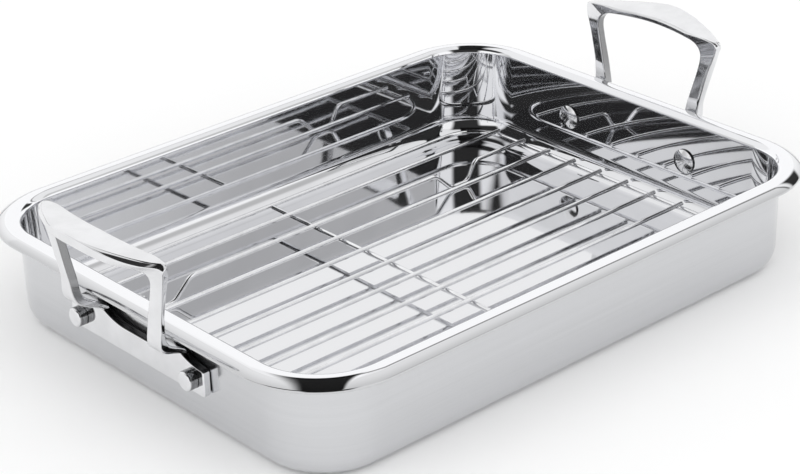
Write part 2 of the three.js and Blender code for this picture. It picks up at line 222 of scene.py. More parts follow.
class Socket:
    """An output socket that takes part in Python arithmetic."""

    def __init__(self, graph, output):
        self.graph = graph
        self.output = output

    def maths(self, operation, first, second=0.0):
        return self.graph.node("ShaderNodeMath", {"operation": operation}, {0: first, 1: second})[0]

    def __add__(self, other):
        return self.maths("ADD", self, other)

    def __radd__(self, other):
        return self.maths("ADD", other, self)

    def __sub__(self, other):
        return self.maths("SUBTRACT", self, other)

    def __rsub__(self, other):
        return self.maths("SUBTRACT", other, self)

    def __mul__(self, other):
        return self.maths("MULTIPLY", self, other)

    def __rmul__(self, other):
        return self.maths("MULTIPLY", other, self)

    def __abs__(self):
        return self.maths("ABSOLUTE", self)

    def step(self, low, high):
        """Rises smoothly from 0 at low to 1 at high."""
        settings = {"interpolation_type": "SMOOTHSTEP"}
        return self.graph.node("ShaderNodeMapRange", settings, {"Value": self, 1: low, 2: high})[0]

    def between(self, low, high, soft):
        """Is 1 from low to high and fades to 0 past both."""
        return self.step(low - soft, low + soft) * (1 - self.step(high - soft, high + soft))


class Graph:
    """The nodes of one material or world."""

    def __init__(self, owner):
        owner.use_nodes = True
        self.owner = owner
        self.tree = owner.node_tree
        self.tree.nodes.clear()

    def node(self, kind, settings=None, values=None):
        """Adds a node, sets it up, feeds its sockets and gives back its outputs."""
        made = self.tree.nodes.new(kind)
        for key, value in (settings or {}).items():
            setattr(made, key, value)
        for key, value in (values or {}).items():
            if isinstance(value, Socket):
                self.tree.links.new(value.output, made.inputs[key])
            else:
                made.inputs[key].default_value = value
        return [Socket(self, output) for output in made.outputs]

    def mix(self, factor, first, second):
        """Mixes two colours."""
        settings = {"data_type": "RGBA"}
        return self.node("ShaderNodeMix", settings, {0: factor, 6: first, 7: second})[2]

    def noise(self, place, scale, detail=3.0, rough=0.5):
        values = {"Vector": place, "Scale": scale, "Detail": detail, "Roughness": rough}
        return self.node("ShaderNodeTexNoise", None, values)[0]

    def streaks(self, place, scales, detail=2.0):
        """Noise with a scale for each axis, drawn out where the scale is small."""
        drawn = self.node("ShaderNodeVectorMath", {"operation": "MULTIPLY"}, {0: place, 1: scales})[0]
        return self.noise(drawn, scale=1.0, detail=detail, rough=0.6)

    def split(self, vector):
        """Parts of a vector along x, y and z."""
        return self.node("ShaderNodeSeparateXYZ", None, {0: vector})

    def place(self):
        """The point on the piece, in metres."""
        return self.node("ShaderNodeTexCoord")[OBJECT]

    def facing(self):
        """Where the surface of the piece looks, along each of the piece's axes."""
        return self.split(self.node("ShaderNodeTexCoord")[NORMAL])

    def dot(self, first, second):
        return self.node("ShaderNodeVectorMath", {"operation": "DOT_PRODUCT"}, {0: first, 1: second})[1]

    def bump(self, height, distance, strength, normal=None):
        values = {"Height": height, "Distance": distance, "Strength": strength}
        if normal is not None:
            values["Normal"] = normal
        return self.node("ShaderNodeBump", None, values)[0]


# Range of a noise pattern over which a mottled tint changes
MOTTLE = (0.3, 0.7)


def shade_of(shade, factor):
    """A shade made darker or lighter."""
    return (*[min(part * factor, 1.0) for part in shade], 1.0)


def mottled(graph, pattern, shade, low, high):
    """A shade that wanders between two brightnesses with a pattern."""
    return graph.mix(pattern.step(*MOTTLE), shade_of(shade, low), shade_of(shade, high))


def new_material(name):
    """Starts a material and gives its nodes and the point on the piece."""
    graph = Graph(bpy.data.materials.new(name))
    return graph, graph.place()


def steel_surface(graph, tint, roughness, normal):
    """Ends a steel material: varying colour, roughness and normal on one metal shader."""
    values = {"Base Color": tint, "Metallic": 1.0, "Roughness": roughness, "Normal": normal}
    surface = graph.node("ShaderNodeBsdfPrincipled", None, values)[0]
    graph.node("ShaderNodeOutputMaterial", None, {"Surface": surface})
    return graph.owner


# How far the drawn end walls bulge inward at half height
WALL_BOW = 0.0007

# Brightness of the painted shade on the casting: painted shadow under the lip and painted shade between the
# legs
HIDDEN_PAINTED_SHADE = 0.06
INNER_PAINTED_SHADE = 0.36

# Depth over which the painted shadow under the lip fades, and how far off the middle the legs' inner faces
# stand
PAINTED_SHADE_FADE = 0.002
LEG_PLACE = 0.04

# Brightness of the dark and the light turning lines in the painted shade on a rivet's edge
RIVET_EDGE_SHADE = (0.22, 0.42)


def polished_steel(name, shade, roughness, pan, painted_lip_low, painted_lip_high):
    """Pressed sheet polished to a mirror, with end walls a little bowed, a duller floor, faint lines and a
    painted highlight and shade by the rim.
    """
    graph, place = new_material(name)
    along, _, height = graph.split(place)
    lines = graph.streaks(place, (6.0, 6.0, 900.0), detail=3.0)
    cloud = graph.noise(place, scale=22.0)
    wave = graph.noise(place, scale=9.0, detail=1.0, rough=0.4)
    worn = 1 - height.step(pan.sheet, 1.4 * pan.sheet)
    # Painted highlight and shade: the band by the rim is tinted by the two lip factors, rising toward the
    # lip's top
    at_lip = height.step(pan.height - 2 * pan.bend, pan.height - pan.bend)
    at_top = height.step(pan.height - 0.8 * pan.bend, pan.height - 0.15 * pan.bend)
    tint = graph.mix(worn, mottled(graph, cloud, shade, 0.97, 1.03), shade_of(shade, 0.93))
    tint = graph.mix(at_lip, tint, graph.mix(at_top, shade_of(shade, painted_lip_low), shade_of(shade, painted_lip_high)))
    blur = roughness * (0.7 + 0.35 * lines + 0.3 * cloud + 0.25 * worn)
    level = (height - pan.height / 2) * (1 / (pan.height / 2 - pan.bend))
    at_end = abs(along).step(pan.rim_length / 2 - pan.rim_corner, pan.rim_length / 2 - pan.overhang)
    bowed = graph.bump(WALL_BOW * at_end * (1 - level * level), distance=1.0, strength=1.0)
    rolled = graph.bump(wave, distance=0.004, strength=0.03, normal=bowed)
    normal = graph.bump(lines, distance=0.00002, strength=0.04, normal=rolled)
    return steel_surface(graph, tint, blur, normal)


def satin_steel(name, shade, roughness):
    """Drawn wall brushed in fine lines that run round the pan."""
    graph, place = new_material(name)
    coarse = graph.streaks(place, (3.0, 3.0, 420.0), detail=3.0)
    fine = graph.streaks(place, (9.0, 9.0, 2300.0))
    cloud = graph.noise(place, scale=14.0)
    grain = 0.55 * coarse + 0.45 * fine
    tint = mottled(graph, grain, shade, 0.97, 1.02)
    blur = roughness * (0.62 + 0.5 * grain + 0.26 * cloud)
    normal = graph.bump(grain, distance=0.0001, strength=0.22)
    return steel_surface(graph, tint, blur, normal)


def cast_steel(name, shade, roughness, painted_shade_below):
    """Investment casting, polished by hand. Painted shadow darkens the upward faces under the lip, and
    painted shade darkens the legs' inner faces.
    """
    graph, place = new_material(name)
    swirl = graph.streaks(place, (640.0, 160.0, 640.0), detail=3.0)
    cloud = graph.noise(place, scale=60.0)
    _, across, height = graph.split(place)
    _, facing_across, facing_up = graph.facing()
    # Painted shadow: faces that look up and lie under the lip are made nearly black
    painted_shade_under_lip = facing_up.step(0.25, 0.5) * (1 - height.step(painted_shade_below - PAINTED_SHADE_FADE, painted_shade_below))
    # Painted shade: the legs' faces that look toward the finger gap are made darker
    inner = (across * facing_across * (-1 / LEG_PLACE)).step(0.55, 0.95)
    tint = graph.mix(inner, mottled(graph, cloud, shade, 0.95, 1.03), shade_of(shade, INNER_PAINTED_SHADE))
    tint = graph.mix(painted_shade_under_lip, tint, shade_of(shade, HIDDEN_PAINTED_SHADE))
    blur = roughness * (0.6 + 0.45 * swirl + 0.35 * cloud) + painted_shade_under_lip * 0.12 + inner * 0.14
    normal = graph.bump(cloud, distance=0.0004, strength=0.12)
    return steel_surface(graph, tint, blur, normal)


def turned_steel(name, shade, roughness):
    """Headed rivet: polished faces and painted shade on the edge, which keeps fine turning lines."""
    graph, place = new_material(name)
    lines = graph.streaks(place, (4000.0, 60.0, 60.0))
    cloud = graph.noise(place, scale=120.0)
    facing_along = graph.facing()[0]
    # Painted shade: faces that look sideways from the rivet's axis are made darker
    edge = 1 - abs(facing_along).step(0.35, 0.75)
    edge_shade_tint = graph.mix(lines.step(0.35, 0.65), *(shade_of(shade, level) for level in RIVET_EDGE_SHADE))
    tint = graph.mix(edge, mottled(graph, cloud, shade, 0.95, 1.03), edge_shade_tint)
    blur = roughness * (0.7 + 0.5 * cloud) + edge * 0.1
    normal = graph.bump(cloud, distance=0.0003, strength=0.1)
    return steel_surface(graph, tint, blur, normal)


def drawn_wire(name, shade, roughness):
    """Bright drawn wire with faint lines left by the die."""
    graph, place = new_material(name)
    drawn = graph.streaks(place, (8.0, 900.0, 900.0))
    cloud = graph.noise(place, scale=90.0)
    tint = mottled(graph, cloud, shade, 0.93, 1.04)
    blur = roughness * (0.65 + 0.45 * drawn + 0.3 * cloud)
    normal = graph.bump(drawn, distance=0.00006, strength=0.25)
    return steel_surface(graph, tint, blur, normal)


# Meshes


def add_piece(name, mesh, materials, body, slot, *nodes):
    """Puts a finished mesh in the scene in place of its CAD nodes."""
    piece = bpy.data.objects.new(name, mesh)
    bpy.context.scene.collection.objects.link(piece)
    for material in materials:
        mesh.materials.append(material)
    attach(piece, body)
    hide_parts(*nodes)
    return piece


def even_normals(piece):
    """Keeps flat faces flat where they run into a rounded edge."""
    modifier = piece.modifiers.new("Even normals", "WEIGHTED_NORMAL")
    modifier.mode = "FACE_AREA"
    modifier.keep_sharp = True


def smooth(mesh, sharp_degrees):
    """Shades a mesh smooth, apart from edges that are sharper than an angle."""
    for face in mesh.polygons:
        face.use_smooth = True
    mesh.set_sharp_from_angle(angle=math.radians(sharp_degrees))


def skin(bm, rings, looped=False):
    """Joins closed rings of points into a body and gives back its rows of faces."""
    rows = [[bm.verts.new(point) for point in ring] for ring in rings]
    size = len(rows[0])
    following = rows[1:] + rows[:1] if looped else rows[1:]
    faces = []
    for near, far in zip(rows, following):
        quads = [(near[j], near[(j + 1) % size], far[(j + 1) % size], far[j]) for j in range(size)]
        faces.append([bm.faces.new(quad) for quad in quads])
    if not looped:
        faces.append([bm.faces.new(list(reversed(rows[0])))])
        faces.append([bm.faces.new(rows[-1])])
    return faces


def to_mesh(name, bm):
    bmesh.ops.recalc_face_normals(bm, faces=bm.faces)
    mesh = bpy.data.meshes.new(name)
    bm.to_mesh(mesh)
    bm.free()
    return mesh


def skinned(name, rings, looped=False):
    """Makes a mesh of closed rings of points."""
    bm = bmesh.new()
    skin(bm, rings, looped)
    return to_mesh(name, bm)


def to_left(mesh):
    """Mirrors a mesh from the pan's right end to its left end."""
    mesh.transform(Matrix.Scale(-1, 4, Vector((1, 0, 0))))
    mesh.flip_normals()


def carve(mesh, other, operation):
    """Joins or cuts one closed mesh with another and gives back the result."""
    first = bpy.data.objects.new("first", mesh)
    second = bpy.data.objects.new("second", other)
    for made in (first, second):
        bpy.context.scene.collection.objects.link(made)
    modifier = first.modifiers.new("carve", "BOOLEAN")
    modifier.operation = operation
    modifier.solver = "EXACT"
    modifier.object = second
    depsgraph = bpy.context.evaluated_depsgraph_get()
    result = bpy.data.meshes.new_from_object(first.evaluated_get(depsgraph))
    result.name = mesh.name
    for made in (first, second):
        bpy.data.objects.remove(made)
    return result


def arc(inset, height, radius, start, end, steps):
    turns = [start + (end - start) * i / steps for i in range(steps + 1)]
    return [(inset + radius * math.cos(turn), height + radius * math.sin(turn)) for turn in turns]


def unit_circle(sides):
    turns = [2 * math.pi * i / sides for i in range(sides)]
    return [(math.cos(turn), math.sin(turn)) for turn in turns]


def rounded_rectangle(half_length, half_width, radius, height, steps):
    ring = []
    for corner, (sx, sy) in enumerate(((1, 1), (-1, 1), (-1, -1), (1, -1))):
        for i in range(steps + 1):
            turn = (corner + i / steps) * QUARTER
            x = sx * (half_length - radius) + radius * math.cos(turn)
            y = sy * (half_width - radius) + radius * math.sin(turn)
            ring.append(Vector((x, y, height)))
    return ring


# Shell of the pan

CORNER_STEPS = 32
HOLE_SIDES = 32
# Material slots; the lip's outer part takes a darker copy of the polished steel as painted shade
POLISH, SATIN, SHADED_LIP = range(3)


class ShellForm:
    """Places on the shell, worked out from its sizes. An inset is measured inward from the lip's edge."""

    def __init__(self, pan):
        self.pan = pan
        self.bend_inset = pan.overhang - pan.bend + pan.sheet
        self.bend_height = pan.height - pan.bend
        self.lip_centre = pan.height - pan.crown
        middle = pan.crown - pan.sheet / 2
        self.lip_turn = math.asin((self.bend_inset - pan.sheet / 2) / middle)
        self.lip_edge_height = self.lip_centre + middle * math.cos(self.lip_turn)
        self.half_length = pan.rim_length / 2
        self.half_width = pan.rim_width / 2

    def outer_inset(self, height):
        return self.pan.overhang + (self.bend_height - height) * math.tan(self.pan.draft)

    def inner_inset(self, height):
        return self.outer_inset(height) + self.pan.sheet / math.cos(self.pan.draft)

    def sections(self):
        """Runs of the sheet's outline, from base over lip to floor: material slot, then insets and heights.
        The lip's outer run takes the polished steel with painted shade.
        """
        pan = self.pan
        base_inset = self.outer_inset(pan.base_corner) + pan.base_corner / math.cos(pan.draft)
        fillet_height = pan.sheet + pan.floor_corner
        fillet_inset = self.inner_inset(fillet_height) + pan.floor_corner / math.cos(pan.draft)
        wall = 2 * QUARTER + pan.draft
        base, top, edge = 3 * QUARTER, QUARTER, QUARTER + self.lip_turn
        line = QUARTER + pan.lip_line
        base_run = arc(base_inset, pan.base_corner, pan.base_corner, base, wall, steps=20)
        under_run = [
            *arc(self.bend_inset, self.bend_height, pan.bend - pan.sheet, pan.draft, top, steps=10),
            *arc(self.bend_inset, self.lip_centre, pan.crown - pan.sheet, top, edge, steps=8)[1:],
        ]
        edge_run = [
            *arc(pan.sheet / 2, self.lip_edge_height, pan.sheet / 2, edge + math.pi, edge, steps=14)[1:],
            *arc(self.bend_inset, self.lip_centre, pan.crown, edge, line, steps=10)[1:-1],
        ]
        top_run = [
            *arc(self.bend_inset, self.lip_centre, pan.crown, line, top, steps=10),
            *arc(self.bend_inset, self.bend_height, pan.bend, top, pan.draft, steps=16)[1:],
        ]
        floor_run = arc(fillet_inset, fillet_height, pan.floor_corner, wall, base, steps=24)
        runs = (base_run, under_run, edge_run, top_run, floor_run)
        return list(zip((SATIN, POLISH, SHADED_LIP, POLISH, POLISH), runs))


def cut_rivet_holes(bm, form, rivets, walls):
    """Opens the two rivet holes in both skins of each end wall."""
    height = form.pan.height - rivets.below_rim
    radius = rivets.shank + rivets.clearance
    for side, skins in walls.items():
        rims = []
        for face, inset_at in zip(skins, (form.outer_inset, form.inner_inset)):
            edges = list(face.edges)
            material = face.material_index
            circles = []
            for half in (1, -1):
                circle = []
                for across, up in unit_circle(HOLE_SIDES):
                    y = half * rivets.spacing / 2 + radius * across
                    z = height + radius * up
                    circle.append(bm.verts.new((side * (form.half_length - inset_at(z)), y, z)))
                circles.append(circle)
            bmesh.ops.delete(bm, geom=[face], context="FACES_ONLY")
            for circle in circles:
                edges += [bm.edges.new((circle[i - 1], circle[i])) for i in range(HOLE_SIDES)]
            filled = bmesh.ops.triangle_fill(bm, edges=edges, use_beauty=True)
            for made in filled["geom"]:
                if isinstance(made, bmesh.types.BMFace):
                    made.material_index = material
            rims.append(circles)
        for outer, inner in zip(*rims):
            for i in range(HOLE_SIDES):
                bm.faces.new((outer[i - 1], outer[i], inner[i], inner[i - 1]))


def shell_mesh(pan, rivets):
    form = ShellForm(pan)
    sections = form.sections()
    rings, finishes = [], []
    for finish, run in sections:
        for inset, height in run:
            half_length, half_width = form.half_length - inset, form.half_width - inset
            corner = pan.rim_corner - inset
            rings.append(rounded_rectangle(half_length, half_width, corner, height, CORNER_STEPS))
            finishes.append(finish)
    bm = bmesh.new()
    rows = skin(bm, rings)
    base, floor = SATIN, POLISH
    finishes[-1:] = [base, floor]
    for row, finish in zip(rows, finishes):
        for face in row:
            face.material_index = finish
    outer_wall = rows[len(sections[0][1]) - 1]
    inner_wall = rows[len(rings) - len(sections[-1][1]) - 1]
    right, left = len(rings[0]) - 1, 2 * CORNER_STEPS + 1
    walls = {1: (outer_wall[right], inner_wall[right]), -1: (outer_wall[left], inner_wall[left])}
    cut_rivet_holes(bm, form, rivets, walls)
    mesh = to_mesh("pan_body", bm)
    smooth(mesh, sharp_degrees=50)
    return mesh


# Handles

ARCH_STATIONS = 200
EDGE_STEPS = 6


def curve_to(start, bend, end, steps=12):
    """Points of a bend from start to end, without its first point."""
    shares = [i / steps for i in range(1, steps + 1)]
    return [start.lerp(bend, share).lerp(bend.lerp(end, share), share) for share in shares]


# Edges of half the arch, in millimetres out from the lip's edge, along the pan's end and above the lip
ARCH_EDGES = (
    (
        (-11.8, 43, -17.5), (0.6, 44.6, -9), (2.6, 45.4, 3), (3.7, 50.4, 23.7),
        (4.6, 54, 32.7), (4.9, 55.9, 38.7), (5.2, 55.2, 44), (4.9, 47.5, 45.9),
        (6, 30, 46.1), (7.5, 15, 46.9), (8, 0, 47.3),
    ),
    (
        (-8.6, 43, -20), (6.2, 45.6, -11.5), (6.6, 47.2, 3), (8.3, 52.4, 23.7),
        (9.2, 54.6, 32.7), (9.8, 56.2, 39.2), (10.4, 58.6, 44.6), (18, 48, 45.9),
        (24.7, 30, 48.1), (27.5, 15, 49.3), (28.8, 0, 50.3),
    ),
    (
        (-8.6, 28.5, -20), (6.2, 33, -11.5), (8.4, 36.6, 3), (9.3, 42.4, 23.7),
        (10, 44.4, 31.7), (11.2, 44.4, 35.5), (13.2, 42.6, 38.2), (18, 36.5, 39.9),
        (23.2, 28, 40.8), (26, 15, 41.9), (27.2, 0, 42.8),
    ),
    (
        (-11.8, 28.5, -17.5), (0.6, 33.4, -9), (2, 36.4, 3), (3.4, 42.2, 23.7),
        (3.6, 44, 31.7), (4.2, 43.4, 36), (4.6, 41.2, 38.9), (5.2, 37, 41.2),
        (6, 29, 42.2), (7.5, 15, 43), (8, 0, 43.4),
    ),
)

# Where the grip's facet starts, is full, narrows and ends, counted along the points of an edge
FACET_START, FACET_FULL, FACET_NARROW, FACET_END = 6.2, 7.4, 7.6, 10.6

# Largest share of a side that the rounding of one corner takes
EASE_LIMIT = 0.48


def gentle(share):
    """Goes from 0 to 1 with no kink at either end."""
    share = min(max(share, 0.0), 1.0)
    return share * share * (3 - 2 * share)


def facet_at(place):
    """How much of the grip's facet there is at a place along the arch's points."""
    points = len(ARCH_EDGES[0])
    inward = points - abs(place - points)
    rise = (inward - FACET_START) / (FACET_FULL - FACET_START)
    fall = (FACET_END - inward) / (FACET_END - FACET_NARROW)
    return gentle(rise) * gentle(fall)


def eased(corners, radius):
    """Outline through corners that are rounded off."""
    outline = []
    for i, corner in enumerate(corners):
        before, after = corners[i - 1] - corner, corners[(i + 1) % len(corners)] - corner
        start = corner + before * min(radius / before.length, EASE_LIMIT)
        end = corner + after * min(radius / after.length, EASE_LIMIT)
        outline += [start, *curve_to(start, corner, end, EDGE_STEPS)]
    return outline


class Spline:
    """A smooth line through points that are spaced unevenly."""

    def __init__(self, points):
        self.points = points

    def at(self, share):
        points = self.points
        place = share * (len(points) - 1)
        i = min(int(place), len(points) - 2)
        w = place - i
        p1, p2 = points[i], points[i + 1]
        p0 = points[i - 1] if i > 0 else 2 * p1 - p2
        p3 = points[i + 2] if i + 2 < len(points) else 2 * p2 - p1
        d0, d1, d2 = (math.sqrt((b - a).length) for a, b in ((p0, p1), (p1, p2), (p2, p3)))
        t1 = ((p1 - p0) / d0 - (p2 - p0) / (d0 + d1) + (p2 - p1) / d1) * d1
        t2 = ((p2 - p1) / d1 - (p3 - p1) / (d1 + d2) + (p3 - p2) / d2) * d1
        bend = (2 * p1 - 2 * p2 + t1 + t2) * w**3 + (3 * p2 - 3 * p1 - 2 * t1 - t2) * w**2
        return bend + t1 * w + p1


class HandleForm:
    """Places on the handle at the right end, worked out from its sizes."""

    def __init__(self, form, rivets, handle):
        self.form = form
        self.rivets = rivets
        self.handle = handle
        self.rivet_height = form.pan.height - rivets.below_rim
        self.bar_top = self.rivet_height + handle.shoulder_above_rivet
        self.wall_inside = form.half_length - form.inner_inset(self.rivet_height)
        self.bar_back = form.half_length - form.outer_inset(self.bar_top) + handle.bar_gap
        self.bar_front = self.bar_back + handle.bar_thickness
        self.leg_inside = (handle.root_spacing - handle.root_width) / 2
        self.leg_outside = (handle.root_spacing + handle.root_width) / 2

    def bar_outline(self):
        """Half outline of the bar in the plane of the wall, mirrored to both sides."""
        handle = self.handle
        end = self.rivets.spacing / 2 + handle.bar_past_rivet
        bottom = self.rivet_height - handle.bar_below_rivet
        lobe = self.rivet_height + handle.lobe_above_rivet
        waist = self.rivet_height + handle.waist_above_rivet
        inside, outside = self.leg_inside, self.leg_outside
        corner = handle.bar_corner + handle.bar_edge
        half = [Vector((0.0, bottom)), Vector((end - corner, bottom))]
        half += curve_to(half[-1], Vector((end, bottom)), Vector((end, bottom + corner)))
        half.append(Vector((end, lobe - corner)))
        half += curve_to(half[-1], Vector((end, lobe)), Vector((end - corner, lobe)))
        half += curve_to(half[-1], Vector(((outside + end) / 2, lobe)), Vector((outside, self.bar_top)))
        half.append(Vector((inside, self.bar_top)))
        half += curve_to(half[-1], Vector((inside * 2 / 3, waist)), Vector((inside / 3, waist)))
        return half + [Vector((-y, z)) for y, z in reversed(half[1:])]

    def bar_rings(self):
        outline = self.bar_outline()
        edge = self.handle.bar_edge
        count = len(outline)
        inward = []
        for i in range(count):
            before = (outline[i] - outline[i - 1]).normalized()
            after = (outline[(i + 1) % count] - outline[i]).normalized()
            run = (before + after).normalized()
            inward.append(Vector((-run.y, run.x)))
        turns = [QUARTER * i / EDGE_STEPS for i in range(EDGE_STEPS + 1)]
        eases = [(edge * (1 - math.sin(turn)), edge * (1 - math.cos(turn))) for turn in turns]
        faces = [(self.bar_back + depth, inset) for depth, inset in reversed(eases)]
        faces += [(self.bar_front - depth, inset) for depth, inset in eases]
        rings = []
        for x, inset in faces:
            places = [point + inset * direction for point, direction in zip(outline, inward)]
            rings.append([Vector((x, y, z)) for y, z in places])
        return rings

    def arch_rails(self):
        """Four edges of legs and grip: top pan side, top outer side, under outer side, under pan side."""
        handle = self.handle
        inside, outside = self.leg_inside, self.leg_outside
        back, front = self.bar_back + handle.bar_edge / 2, self.bar_front - handle.bar_edge / 2
        root = self.rivet_height + handle.root_above_rivet
        rim, top = self.form.half_length, self.form.pan.height
        halves = []
        roots = (back, outside), (front, outside), (front, inside), (back, inside)
        for (x, y), edge in zip(roots, ARCH_EDGES):
            half = [Vector((x, y, root))]
            half += [Vector((rim + out / 1000, along / 1000, top + up / 1000)) for out, along, up in edge]
            halves.append(half)
        mirror = Vector((1, -1, 1))
        return [half + [point * mirror for point in reversed(half[:-1])] for half in halves]

    def arch_rings(self):
        """Sections of legs and grip, with a facet on the grip's top outer edge that widens at its ends."""
        rails = [Spline(rail) for rail in self.arch_rails()]
        edge = self.handle.leg_edge
        rings = []
        for i in range(ARCH_STATIONS + 1):
            share = i / ARCH_STATIONS
            inner_top, outer_top, outer_under, inner_under = (rail.at(share) for rail in rails)
            cut = edge / 2 + self.handle.shoulder_cut * facet_at(share * (len(rails[0].points) - 1))
            first = outer_top + (inner_top - outer_top).normalized() * cut
            second = outer_top + (outer_under - outer_top).normalized() * cut
            rings.append(eased((inner_top, first, second, outer_under, inner_under), edge))
        return rings


def handle_mesh(form, rivets, handle, side):
    """One casting: bar, legs and grip joined, with its two rivet holes cut."""
    places = HandleForm(form, rivets, handle)
    bar, arch = (skinned("handle", rings) for rings in (places.bar_rings(), places.arch_rings()))
    mesh = carve(bar, arch, "UNION")
    bm = bmesh.new()
    for half in (1, -1):
        depth = (places.bar_back + places.bar_front) / 2
        middle = Vector((depth, half * rivets.spacing / 2, places.rivet_height))
        matrix = Matrix.Translation(middle) @ Matrix.Rotation(QUARTER, 4, "Y")
        bmesh.ops.create_cone(
            bm,
            cap_ends=True,
            segments=HOLE_SIDES,
            radius1=rivets.shank + rivets.clearance,
            radius2=rivets.shank + rivets.clearance,
            depth=4 * handle.bar_thickness,
            matrix=matrix,
        )
    mesh = carve(mesh, to_mesh("holes", bm), "DIFFERENCE")
    if side < 0:
        to_left(mesh)
    smooth(mesh, sharp_degrees=35)
    return mesh


# Rivets

RIVET_SIDES = 64
DOME_STEPS = 12
BUTTON_STEPS = 8


def rivet_mesh(form, rivets, handle, side, half):
    """Lathe-turned rivet: domed head inside, shank, button head outside."""
    places = HandleForm(form, rivets, handle)
    grip = places.bar_front - places.wall_inside + 2 * rivets.seat
    dome = rivets.inner_height - rivets.inner_edge
    dome_radius = (rivets.inner_radius**2 + dome**2) / (2 * dome)
    dome_turn = math.asin(rivets.inner_radius / dome_radius)
    profile = []
    for i in range(1, DOME_STEPS + 1):
        turn = dome_turn * i / DOME_STEPS
        rise = dome_radius * (1 - math.cos(turn))
        profile.append((dome_radius * math.sin(turn), rise - rivets.inner_height))
    profile += [(rivets.inner_radius, 0.0), (rivets.shank, 0.0)]
    profile += [(rivets.shank, grip), (rivets.outer_radius, grip)]
    for i in range(BUTTON_STEPS + 1):
        turn = QUARTER * i / BUTTON_STEPS
        radius = rivets.outer_radius - rivets.outer_round * (1 - math.cos(turn))
        profile.append((radius, grip + rivets.outer_height - rivets.outer_round * (1 - math.sin(turn))))
    origin = Vector((places.wall_inside - rivets.seat, half * rivets.spacing / 2, places.rivet_height))
    around = unit_circle(RIVET_SIDES)
    rings = []
    for radius, reach in profile:
        rings.append([origin + Vector((reach, radius * y, radius * z)) for y, z in around])
    mesh = skinned("rivet", rings)
    if side < 0:
        to_left(mesh)
    smooth(mesh, sharp_degrees=40)
    return mesh


# Rack

WIRE_SIDES = 24
WIRE_END_ROUND = 0.35
WIRE_END_STEPS = 4


class RackForm:
    """Places on the rack, measured from its own middle."""

    def __init__(self, form, rack):
        pan = form.pan
        self.rack = rack
        self.frame_height = pan.sheet + rack.above_floor
        self.wire_height = self.frame_height + (rack.frame_wire + rack.long_wire) / 2 + rack.weld
        self.foot_height = pan.sheet + rack.weld + rack.long_wire / 2
        inset = form.inner_inset(self.frame_height) + rack.frame_wire / 2
        self.half_length = form.half_length - inset - rack.end_clearance
        self.half_width = form.half_width - inset - rack.side_clearance
        self.shift = Vector((rack.shift_along, rack.shift_across, 0.0))
        self.pitch = 2 * self.half_width / (len(RACK_WIRES) + 1)

    def reach(self, y):
        """Half length of a long wire, shorter where the frame's corner comes in."""
        into = max(abs(y) - (self.half_width - self.rack.corner), 0.0)
        corner = math.sqrt(self.rack.corner**2 - into**2)
        return self.half_length - self.rack.corner + corner + self.rack.overlap

    def long_wire(self, y, footed):
        rack = self.rack
        reach = self.reach(y)
        line = [Vector((-reach, y, self.wire_height))]
        end = Vector((reach, y, self.wire_height))
        if footed:
            feet = [
                (rack.foot_inner_top, self.wire_height),
                (rack.foot_inner_bottom, self.foot_height),
                (rack.foot_outer_bottom, self.foot_height),
                (rack.foot_outer_top, self.wire_height),
            ]
            corners = [Vector((-x, y, z)) for x, z in reversed(feet)]
            corners += [*(Vector((x, y, z)) for x, z in feet), end]
            for corner, following in zip(corners, corners[1:]):
                start = corner + (line[-1] - corner).normalized() * rack.foot_bend
                finish = corner + (following - corner).normalized() * rack.foot_bend
                line += [start, *curve_to(start, corner, finish, 10)]
        return line + [end]


def end_easing(inward, radius):
    """Steps that round off a wire's end: a shift from the end and a share of the radius."""
    turns = [QUARTER * k / WIRE_END_STEPS for k in range(WIRE_END_STEPS + 1)]
    ease = WIRE_END_ROUND
    return [(inward * (ease * radius * (1 - math.sin(t))), 1 - ease * (1 - math.cos(t))) for t in turns]


def wire_mesh(name, points, radius, plane_normal, looped=False):
    """Sweeps a round wire along points in one plane. Open ends are eased."""
    count = len(points)
    rings = []
    for i, point in enumerate(points):
        before = points[i - 1] if looped or i > 0 else point
        after = points[(i + 1) % count] if looped or i + 1 < count else point
        along = (after - before).normalized()
        side = plane_normal.cross(along)
        easing = [(Vector(), 1.0)]
        if not looped and i == 0:
            easing = end_easing(along, radius)[::-1]
        elif not looped and i == count - 1:
            easing = end_easing(-along, radius)
        around = [side * x + plane_normal * y for x, y in unit_circle(WIRE_SIDES)]
        for shift, share in easing:
            rings.append([point + shift + offset * (share * radius) for offset in around])
    mesh = skinned(name, rings, looped)
    smooth(mesh, sharp_degrees=60)
    return mesh


# Operators


class ROASTINGPAN_OT_shell(bpy.types.Operator):
    """Build the drawn shell with its crowned lip"""

    bl_idname = "roastingpan.shell"
    bl_label = "Pan Shell"

    def execute(self, context):
        settings = context.scene.roasting_pan
        steel = settings.steel
        gloss = steel.polished_roughness
        mesh = shell_mesh(settings.pan, settings.rivets)
        materials = [
            # Painted highlight: the polished inside is made brighter in the band by the rim
            polished_steel("pan_polish", steel.polished, gloss, settings.pan, painted_lip_low=1.08, painted_lip_high=1.08),
            satin_steel("pan_satin", steel.satin, steel.satin_roughness),
            # The lip's outer part: the polished steel darkened as painted shade, with a painted highlight
            # toward its top
            polished_steel("pan_lip_painted_shade", steel.lip, gloss, settings.pan, painted_lip_low=0.98, painted_lip_high=1.3),
        ]
        even_normals(add_piece("pan_shell", mesh, materials, "pan", "pan_steel", "pan_body"))
        return {"FINISHED"}


